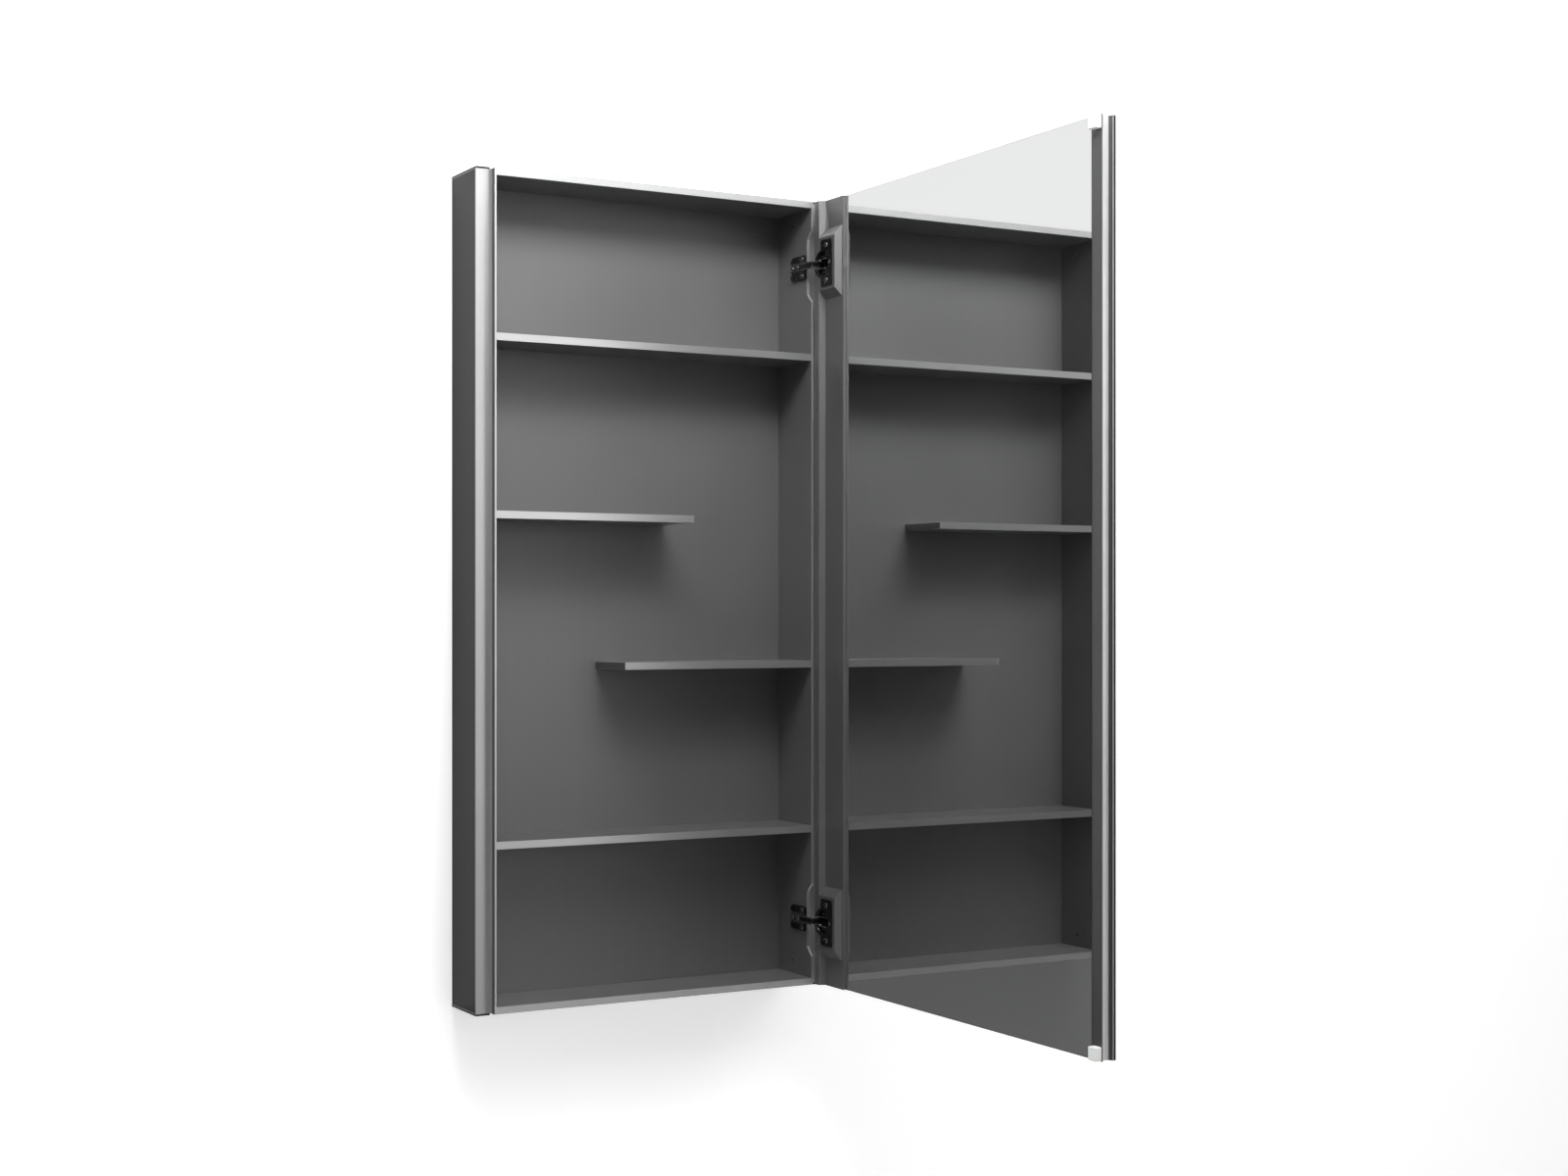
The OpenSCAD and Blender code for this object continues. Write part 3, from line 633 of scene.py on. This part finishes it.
# Cup: u is the distance from the door's hinge edge, and heights are from the hinge's middle
CUP_U = 19 * MM                # centre of the cup
RIM_R = 18.3 * MM              # outer radius of the ring round the bowl
BOWL_R = 15.2 * MM             # radius of the bowl
EAR_NEAR = 14 * MM             # near side of the ears
EAR_T = 1.2 * MM               # thickness of the ear plate
EAR_ROUND = 3 * MM             # corner radius of the ears
SLOT_HALF = 5.3 * MM           # half the height of the arm's slot
SLOT_END = 28.7 * MM           # the arm sweeps the slot up to here
LID_U = 23.5 * MM              # the plate closes the bowl beyond this
SCREW_HOLE_R = 2.1 * MM        # holes under the heads of cup and plate screws
DIMPLE = (31.5 * MM, 9 * MM, 1.3 * MM)       # u, height and radius of the small holes
EAR_SLOT = (20.5 * MM, 25 * MM, 0.9 * MM, 1.6 * MM)    # u, height, radius, half length
SMALL_STEPS = 16               # corners of the small round holes
CHEEK_T = 1.1 * MM             # link cheeks beside the slot
CHEEK_DEPTH = 4 * MM           # zero of their outline, under the face of the ear plate
CHEEK_OUT = 0.75 * MM          # their middle, beside the slot
RIVET = (5.25 * MM, 12 * MM, 10.5 * MM)      # depth, u and height of the rivet heads
WASHER_R = 2.6 * MM
WASHER_T = 0.5 * MM
WASHER_OUT = 0.4 * MM          # its middle, beside the arm
CAM_U = 33 * MM                # the adjusting cam
CAM_SIZE = (2.6 * MM, 0.5 * MM, 1.2 * MM, 0.8 * MM)    # head radius and height, shank, length
# Wall plate: depths are from its front edge
CORNER = 4 * MM                # size of its sloping back corners
WAIST_IN = 2.5 * MM            # how far the waist at the back edge is drawn in
WAIST_HALF = (7 * MM, 8 * MM)  # half its height, inside and outside
PLATE_SLOT_HALF = 1.2 * MM     # from the middle of its screw holes to the round ends' centres
PLATE_DIMPLE = (25 * MM, 10.5 * MM, 1.5 * MM)          # depth, height, radius
GUIDE_DEPTH = (2 * MM, 27 * MM)              # ends of the two guide rails
GUIDE_HALF = (5.2 * MM, 6.6 * MM)            # their inner and outer sides
GUIDE_T = 1.8 * MM
GUIDE_PROUD = 0.8 * MM         # middle of the guides above the plate
# Arm
ARM_HALF = 4.5 * MM            # half the height of the arm
ARM_T = 4 * MM                 # thickness of the folded arm
ARM_CHEEK_T = 1.6 * MM
WEB_INSET = 0.7 * MM           # the web is this much narrower than the cheeks
WEB_LAP = 0.1 * MM             # the web runs this far into each cheek
LEG_JOIN = 8 * MM              # end of the bent leg's outline, from the pin
LEG_ROUND = 2.2 * MM           # corner radius of the bent leg
PIN_GAP = 0.05 * MM
HINGE_REACH = 60 * MM          # screws closer in height than this belong to the hinge


def arc(x, y, radius, start, end, steps=14):
    """Points on an arc; angles in degrees."""
    turn = [math.radians(start + (end - start) * k / steps) for k in range(steps + 1)]
    return [(x + radius * math.cos(a), y + radius * math.sin(a)) for a in turn]


def slotted_hole(x, y, radius, half_length):
    """A long hole that runs along y; half_length is from its middle to the centre of an end."""
    return (arc(x, y + half_length, radius, 0, 180, 8)
            + arc(x, y - half_length, radius, 180, 360, 8))


def plate_outline(far, half):
    """Outline of the ear plate in (u, z): ring round the bowl, ears, and the arm's slot."""
    gate = math.degrees(math.asin(SLOT_HALF / RIM_R))
    gate_in = math.degrees(math.asin(SLOT_HALF / BOWL_R))
    join_at = math.degrees(math.acos((CUP_U - EAR_NEAR) / RIM_R))
    lid = math.degrees(math.acos((LID_U - CUP_U) / BOWL_R))
    near_u, far_u, high_z = EAR_NEAR + EAR_ROUND, far - EAR_ROUND, half - EAR_ROUND
    outline = arc(CUP_U, 0, RIM_R, 180 + gate, 180 + join_at)
    outline += arc(near_u, -high_z, EAR_ROUND, 180, 270, 5)
    outline += arc(far_u, -high_z, EAR_ROUND, 270, 360, 5)
    outline += arc(far_u, high_z, EAR_ROUND, 0, 90, 5)
    outline += arc(near_u, high_z, EAR_ROUND, 90, 180, 5)
    outline += arc(CUP_U, 0, RIM_R, 180 - join_at, 180 - gate)
    outline += arc(CUP_U, 0, BOWL_R, 180 - gate_in, lid)
    outline += [(LID_U, SLOT_HALF), (SLOT_END, SLOT_HALF),
                (SLOT_END, -SLOT_HALF), (LID_U, -SLOT_HALF)]
    outline += arc(CUP_U, 0, BOWL_R, -lid, -180 + gate_in)
    return outline


def near_screws(node, z):
    """Places (y, height above z) of a node's screws at the hinge at height z."""
    middles = [sum(corners(points), Vector()) / 2 for points in solids(node)]
    return [(m.y, m.z - z) for m in middles if abs(m.z - z) < HINGE_REACH]


def pin_place(end):
    """The x and y of a hinge pin's axis, and its radius."""
    low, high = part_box("hinge_pin_" + end)
    return (low.x + high.x) / 2, (low.y + high.y) / 2, (high.x - low.x) / 2


def cup_bowl(node, top):
    """The lower part of the CAD cup, under its ear plate, closed again on top."""
    bm = cad_bmesh(node)
    geom = bm.verts[:] + bm.edges[:] + bm.faces[:]
    bmesh.ops.bisect_plane(bm, geom=geom, plane_co=(top, 0, 0), plane_no=(1, 0, 0),
                           clear_inner=True)
    rim = [e for e in bm.edges if e.is_boundary]
    bmesh.ops.triangle_fill(bm, edges=rim, use_beauty=True)
    bmesh.ops.recalc_face_normals(bm, faces=bm.faces)
    return bm


def cup_holes(edge_y, mid_z):
    """Screw holes, dimples and short slots of the ear plate, in (u, z)."""
    holes = [circle(edge_y - y, z, SCREW_HOLE_R) for y, z in near_screws("cup_screws", mid_z)]
    u, z, radius = DIMPLE
    holes += [circle(u, side * z, radius, SMALL_STEPS) for side in (-1, 1)]
    u, z, radius, half_length = EAR_SLOT
    holes += [slotted_hole(u, side * z, radius, half_length) for side in (-1, 1)]
    return holes


def link_cheek():
    """Outline of a link cheek, in (depth from CHEEK_DEPTH, u)."""
    return rounded([(-3.2 * MM, 6 * MM), (-3.2 * MM, 20 * MM), (1.5 * MM, 23 * MM),
                    (1.5 * MM, 4.5 * MM)], 2 * MM)


def rivet_dome():
    """Profile of a rivet head."""
    return [(0, 0), (1.7 * MM, 0), (1.6 * MM, 0.5 * MM), (1.0 * MM, 0.9 * MM), (0, MM)]


def hinge_cup(end):
    """Bowl, stamped ear plate, link cheeks, rivets, washers and adjusting cam."""
    node = "hinge_cup_" + end
    low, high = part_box(node)
    edge_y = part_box("hinge_stile")[1].y
    mid_z = (low.z + high.z) / 2
    pivot_x, pivot_y, pin_r = pin_place(end)
    outline = plate_outline(edge_y - low.y, (high.z - low.z) / 2)
    out = cup_bowl(node, low.x + EAR_T)
    facing = axes(-Y, Z, -X, Vector((low.x + EAR_T / 2, edge_y, mid_z)))
    join(out, stamped(outline, cup_holes(edge_y, mid_z), EAR_T, 0.3 * MM), facing)
    rivet_depth, rivet_u, rivet_z = RIVET
    for side in (-1, 1):
        place = Vector((low.x + CHEEK_DEPTH, edge_y, mid_z + side * (SLOT_HALF + CHEEK_OUT)))
        join(out, stamped(link_cheek(), [], CHEEK_T, 0.25 * MM), axes(X, -Y, -Z, place), GLINT)
        place = Vector((low.x + rivet_depth, edge_y - rivet_u, mid_z + side * rivet_z))
        turned = axes(Y, Z, X, place) @ Matrix.Rotation(math.pi, 4, "X")
        join(out, lathe(rivet_dome(), 20), turned, GLINT)
        ring = stamped(circle(0, 0, WASHER_R), [circle(0, 0, pin_r)], WASHER_T, 0.12 * MM)
        place = Vector((pivot_x, pivot_y, mid_z + side * (ARM_HALF + WASHER_OUT)))
        join(out, ring, Matrix.Translation(place), GLINT)
    cam = bmesh.new()
    cam.from_mesh(screw_body(*CAM_SIZE))
    join(out, cam, facing @ Matrix.Translation((CAM_U, 0, EAR_T / 2)), GLINT)
    finish_node(out, node, HINGE_LOOK)


def wall_plate_outline(depth, half):
    """Outline of the wall plate in (depth, z): sloping back corners and a waist between them."""
    inside, outside = WAIST_HALF
    return rounded([(0, -half), (depth - CORNER, -half), (depth, -half + CORNER),
                    (depth, -outside), (depth - WAIST_IN, -inside),
                    (depth - WAIST_IN, inside), (depth, outside),
                    (depth, half - CORNER), (depth - CORNER, half), (0, half)], 2.5 * MM)


def hinge_plate(end):
    """Stamped wall plate with long holes for its screws and two guide rails for the arm."""
    node = "hinge_plate_" + end
    low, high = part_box(node)
    mid_z = (low.z + high.z) / 2
    outline = wall_plate_outline(high.y - low.y, (high.z - low.z) / 2)
    holes = [slotted_hole(y - low.y, z, SCREW_HOLE_R, PLATE_SLOT_HALF)
             for y, z in near_screws("plate_screws", mid_z)]
    depth, height, radius = PLATE_DIMPLE
    holes += [circle(depth, side * height, radius, SMALL_STEPS) for side in (-1, 1)]
    loops = [[(x, -y) for x, y in loop] for loop in [outline] + holes]
    out = stamped(loops[0], loops[1:], high.x - low.x, 0.45 * MM)
    middle = Vector(((low.x + high.x) / 2, low.y, mid_z))
    bmesh.ops.transform(out, matrix=axes(Y, -Z, -X, middle), verts=out.verts)
    front, back = GUIDE_DEPTH
    near, far = GUIDE_HALF
    guide = rounded([(front, -far), (back, -far), (back, -near), (front, -near)], 0.5 * MM)
    for side in (-1, 1):
        rail = [(x, y * side) for x, y in guide]
        place = Vector((low.x - GUIDE_PROUD, low.y, mid_z))
        join(out, stamped(rail, [], GUIDE_T, 0.2 * MM), axes(Y, -Z, -X, place), GLINT)
    finish_node(out, node, HINGE_LOOK)


def arm_outline(low, high, pivot_x, pivot_y, inset):
    """Outline of the arm seen along the pin, drawn in by inset: a bent leg and a round eye."""
    left, back = low.x + inset, high.y - inset
    right = low.x + ARM_T - inset
    front, inner = pivot_y - ARM_T / 2 + inset, pivot_y + ARM_T / 2 - inset
    radius = high.x - pivot_x - inset
    gap = math.degrees(math.asin((ARM_T / 2 - inset) / radius))
    leg = rounded([(pivot_x - LEG_JOIN, inner), (right, inner), (right, back), (left, back),
                   (left, front), (pivot_x - LEG_JOIN, front)], LEG_ROUND)
    return leg + arc(pivot_x, pivot_y, radius, gap - 180, 180 - gap, 24)


def hinge_arm(end):
    """Folded arm: two cheeks with a narrower web between them, and an eye round the pin."""
    node = "hinge_arm_" + end
    low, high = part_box(node)
    mid_z = (low.z + high.z) / 2
    half = (high.z - low.z) / 2
    pivot_x, pivot_y, pin_r = pin_place(end)
    hole = circle(pivot_x, pivot_y, pin_r + PIN_GAP)
    web = arm_outline(low, high, pivot_x, pivot_y, WEB_INSET)
    cheek = arm_outline(low, high, pivot_x, pivot_y, 0)
    out = stamped(web, [hole], 2 * (half - ARM_CHEEK_T + WEB_LAP), 0.1 * MM)
    bmesh.ops.transform(out, matrix=Matrix.Translation((0, 0, mid_z)), verts=out.verts)
    for side in (-1, 1):
        place = Matrix.Translation((0, 0, mid_z + side * (half - ARM_CHEEK_T / 2)))
        join(out, stamped(cheek, [hole], ARM_CHEEK_T, 0.3 * MM), place, GLINT)
    finish_node(out, node, HINGE_LOOK)


# ---------- Build ----------

def near_x(value):
    """Skips edges that lie in the plane x = value."""
    def skip(edge):
        return all(abs(v.co.x - value) < ON_PLANE for v in edge.verts)
    return skip


def build_box():
    """Back sheet, panels, walls, covers and caps."""
    finished_copy("back_panel", "back_sheet", "frame_edge", 0.25 * MM)
    for node in ("top_panel", "bottom_panel"):
        finished_copy(node, "panel", "frame_edge", 0.4 * MM, painted_light="frame_x")
    for node in ("left_wall", "right_wall"):
        finished_copy(node, node, "frame_edge", 0.35 * MM, painted_light="frame_z",
                      painted_light_if=front_and_cove)
    for node in ("left_side_cover", "right_side_cover"):
        finished_copy(node, "cover", "cover_edge", 0.3 * MM)
    finished_copy("side_cover_caps", "cover", "cover_edge", 0.5 * MM)


def build_shelves():
    """The four shelves and the caps on the free ends of the half shelves."""
    for node in ("upper_shelf", "lower_shelf", "left_half_shelf", "right_half_shelf"):
        finished_copy(node, "shelf", "shelf_edge", 0.5 * MM, painted_light="shelf_front")
    finished_copy("half_shelf_caps", "shelf", "shelf_edge", 0.4 * MM, painted_light="shelf_front")


def build_rear():
    """What is behind the back sheet."""
    finished_copy("hanging_rail", "rail", "rail", 0.3 * MM)
    finished_copy("wall_cleat", "rail", "rail", 0.3 * MM)
    finished_copy("wall_pad", "rubber", "rubber", 0.5 * MM)


def build_door():
    """Core, rails, stiles, hinge mounts, bumpers and the two mirrors."""
    finished_copy("door_core", "board", "board", 0.3 * MM)
    for node in ("door_top_rail", "door_bottom_rail"):
        finished_copy(node, "door", "door_edge", 0.3 * MM)
    finished_copy("hinge_stile", "door", "door_edge", 0.5 * MM)
    finished_copy("free_stile", "strip", "door_edge", 0.35 * MM, painted_light="door_end")
    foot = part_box("hinge_mount_upper")[1].x
    for node in ("hinge_mount_upper", "hinge_mount_lower"):
        finished_copy(node, "door", "door", 1.0 * MM, near_x(foot), 3)
    for node in ("corner_bumper_upper", "corner_bumper_lower"):
        finished_copy(node, "bumper", "bumper", 1.2 * MM, segments=4)
    mirror_slab("outer_mirror", 1)
    mirror_slab("inner_mirror", -1)


def build_hinges():
    """Wall plates, arms, cups and pins."""
    for end in ("upper", "lower"):
        hinge_plate(end)
        hinge_arm(end)
        hinge_cup(end)
        finished_copy("hinge_pin_" + end, "steel", "steel", 0.3 * MM)


def build_screws():
    """All screws and studs."""
    for node in ("corner_screws", "shelf_screws"):
        screws(node, X, "steel")
    for node in ("back_screws", "rail_studs"):
        screws(node, Y, "steel")
    for node in ("plate_screws", "arm_screws", "cup_screws"):
        screws(node, -X, "dark_screw")


# ---------- Stage, light and camera ----------

WALL_HALF = 4.0                # half the width of the room, in metres
WALL_TOP = 2.6
WALL_GAP = 0.4 * MM            # between the cabinet's back and the wall
WALL_TONE = 0.85
WALL_GLOW = 0.46
FLOOR_Z = -1.45
FLOOR_TONE = 0.7
ROOM_TOP = 3 * WALL_TOP
ROOM_TONE = 0.1
ROOM_GLOW = 0.62
HOLE_X = 0.232                 # half the opening in the wall behind the cabinet
HOLE_Z = 0.49
CARD_X = (-1.6, 0.24)          # cards: painted reflections of the wall in the door's mirror
CARD_NEAR = 0.512              # from the cabinet's middle to the near edge of a card
CARD_FAR = 1.3
CARD_PROUD = 4 * MM
SHADE_CARD = (0.05, 0.1)         # tone and glow of the card below: painted shade of the wall under the cabinet, as the mirror shows it
# tone and glow of the card above: a glowing painted reflection of the white wall
GLOW_CARD = (0.0, 0.97)
AIM = (0.0, 0.0, 0.1)          # every light points here
LIGHTS = {                     # place, size, power in watts
    "over_left": ((-0.45, -1.0, 1.6), (1.2, 0.8), 13),
    "over_front": ((0.0, -1.7, 1.7), (1.4, 0.8), 20),
    "over_near": ((-0.2, -0.75, 1.05), (0.9, 0.3), 13),
    "front_right": ((1.5, -2.4, 1.0), (1.3, 1.6), 15),
    "low_right": ((1.3, -2.5, -0.1), (1.3, 1.6), 10),
    "front_left": ((-2.2, -1.8, 1.2), (1.3, 1.6), 7),
    "behind": ((0.9, 2.2, 1.2), (2.0, 1.5), 60),
}
SKY_STOPS = ((0.0, 0.1), (0.42, 0.22), (0.55, 0.5), (1.0, 1.0))    # height, tone
SKY_STRENGTH = 0.12
CAMERA_PLACE = (-1.2730, -2.1688, -0.0324)
CAMERA_TURN = -24.89           # degrees about Z, from facing the wall
CAMERA_LENS = 44.97            # on a sensor 36 mm wide
CAMERA_SHIFT = (0.2206, 0.01925)


def stage_material(name, tone, glow, one_sided):
    """Pale plaster with a faint mottling; one-sided, it can't be seen from behind."""
    g = Graph(name, 0.0, Specular_IOR_Level=0.0, Emission_Color=(1, 1, 1, 1),
              Emission_Strength=glow)
    mottle = g.noise((3, 3, 3), 3.0)
    g.colour(mottle, grey(tone * 0.995), grey(tone))
    g.roughness(mottle, 0.85, 0.95)
    if one_sided:
        nodes = g.tree.nodes
        clear = nodes.new("ShaderNodeBsdfTransparent")
        side = nodes.new("ShaderNodeNewGeometry")
        mix = nodes.new("ShaderNodeMixShader")
        g.link(side.outputs["Backfacing"], mix.inputs[0])
        g.link(g.shader.outputs[0], mix.inputs[1])
        g.link(clear.outputs[0], mix.inputs[2])
        g.link(mix.outputs[0], nodes["Material Output"].inputs["Surface"])
    return g.material


def plane(name, points, faces, material):
    """A flat or folded sheet of the stage."""
    mesh = bpy.data.meshes.new(name)
    mesh.from_pydata(points, [], faces)
    mesh.materials.append(material)
    obj = bpy.data.objects.new(name, mesh)
    bpy.context.scene.collection.objects.link(obj)
    return obj


def upright(left, right, y, bottom, top):
    """Corners of an upright rectangle that faces the room."""
    return [(left, y, bottom), (right, y, bottom), (right, y, top), (left, y, top)]


# Faces between two loops of four corners, and the face of a single loop
BETWEEN = [(k, (k + 1) % 4, 4 + (k + 1) % 4, 4 + k) for k in range(4)]
SINGLE = [(0, 1, 2, 3)]


def build_stage():
    """White wall with an opening behind the cabinet, a floor far below, room, and cards that paint
    the wall's reflection in the mirror.
    """
    outer = upright(-WALL_HALF, WALL_HALF, WALL_GAP, FLOOR_Z, WALL_TOP)
    inner = upright(-HOLE_X, HOLE_X, WALL_GAP, -HOLE_Z, HOLE_Z)
    paint = stage_material("wall_paint", WALL_TONE, WALL_GLOW, True)
    plane("wall", outer + inner, BETWEEN, paint)
    floor = [(-WALL_HALF, -WALL_HALF, FLOOR_Z), (WALL_HALF, -WALL_HALF, FLOOR_Z),
             (WALL_HALF, WALL_HALF, FLOOR_Z), (-WALL_HALF, WALL_HALF, FLOOR_Z)]
    plane("floor", floor, SINGLE, stage_material("floor_paint", FLOOR_TONE, 0.0, False))
    backdrop()
    painted_reflection_card("painted_shade_card", -CARD_FAR, -CARD_NEAR, *SHADE_CARD)
    painted_reflection_card("glowing_wall_card", CARD_NEAR, CARD_FAR, *GLOW_CARD)


def backdrop():
    """Pale studio walls round the room, which only the camera sees."""
    far = WALL_HALF
    ring = [(-far, far), (-far, -far), (far, -far), (far, far)]
    points = [(x, y, z) for z in (FLOOR_Z, ROOM_TOP) for x, y in ring]
    paint = stage_material("studio_paint", ROOM_TONE, ROOM_GLOW, False)
    room = plane("studio", points, BETWEEN, paint)
    room.visible_diffuse = False
    room.visible_glossy = False
    room.visible_transmission = False
    room.visible_shadow = False


def painted_reflection_card(name, bottom, top, tone, glow):
    """A card on the wall that shows only in reflections: a painted reflection, whose tone and glow
    paint the wall's light and shade.
    """
    points = upright(*CARD_X, -CARD_PROUD, bottom, top)
    card = plane(name, points, SINGLE, stage_material(name + "_paint", tone, glow, False))
    card.visible_camera = False
    card.visible_diffuse = False
    card.visible_shadow = False


def area_light(name, place, size, power):
    """A rectangular soft light."""
    light = bpy.data.lights.new(name, "AREA")
    light.shape = "RECTANGLE"
    light.size, light.size_y = size
    light.energy = power
    obj = bpy.data.objects.new(name, light)
    obj.location = place
    obj.rotation_euler = (Vector(AIM) - Vector(place)).to_track_quat("-Z", "Y").to_euler()
    bpy.context.scene.collection.objects.link(obj)


def build_world():
    """Sky light: bright above, dimmer at the horizon, dark below."""
    world = bpy.data.worlds.new("studio")
    bpy.context.scene.world = world
    world.use_nodes = True
    nodes, links = world.node_tree.nodes, world.node_tree.links
    coord = nodes.new("ShaderNodeTexCoord")
    split = nodes.new("ShaderNodeSeparateXYZ")
    ramp = nodes.new("ShaderNodeValToRGB")
    span = nodes.new("ShaderNodeMapRange")
    span.inputs["From Min"].default_value = -1.0
    links.new(coord.outputs["Generated"], split.inputs[0])
    links.new(split.outputs["Z"], span.inputs["Value"])
    links.new(span.outputs["Result"], ramp.inputs["Fac"])
    elements = ramp.color_ramp.elements
    elements[0].position, elements[1].position = SKY_STOPS[0][0], SKY_STOPS[-1][0]
    for position, _ in SKY_STOPS[1:-1]:
        elements.new(position)
    for element, (_, tone) in zip(elements, SKY_STOPS):
        element.color = (tone, tone, tone, 1)
    background = nodes["Background"]
    links.new(ramp.outputs["Color"], background.inputs["Color"])
    background.inputs["Strength"].default_value = SKY_STRENGTH


def build_camera():
    """The photo's view: level, with a shifted frame."""
    camera = bpy.data.cameras.new("camera")
    camera.sensor_width = 36.0
    camera.lens = CAMERA_LENS
    camera.shift_x, camera.shift_y = CAMERA_SHIFT
    obj = bpy.data.objects.new("camera", camera)
    obj.location = CAMERA_PLACE
    obj.rotation_euler = (math.radians(90), 0, math.radians(CAMERA_TURN))
    bpy.context.scene.collection.objects.link(obj)
    bpy.context.scene.camera = obj


build_box()
build_shelves()
build_rear()
build_door()
build_hinges()
build_screws()
build_stage()
for light, (place, size, power) in LIGHTS.items():
    area_light(light, place, size, power)
build_world()
build_camera()
bpy.context.scene.view_settings.view_transform = "Standard"
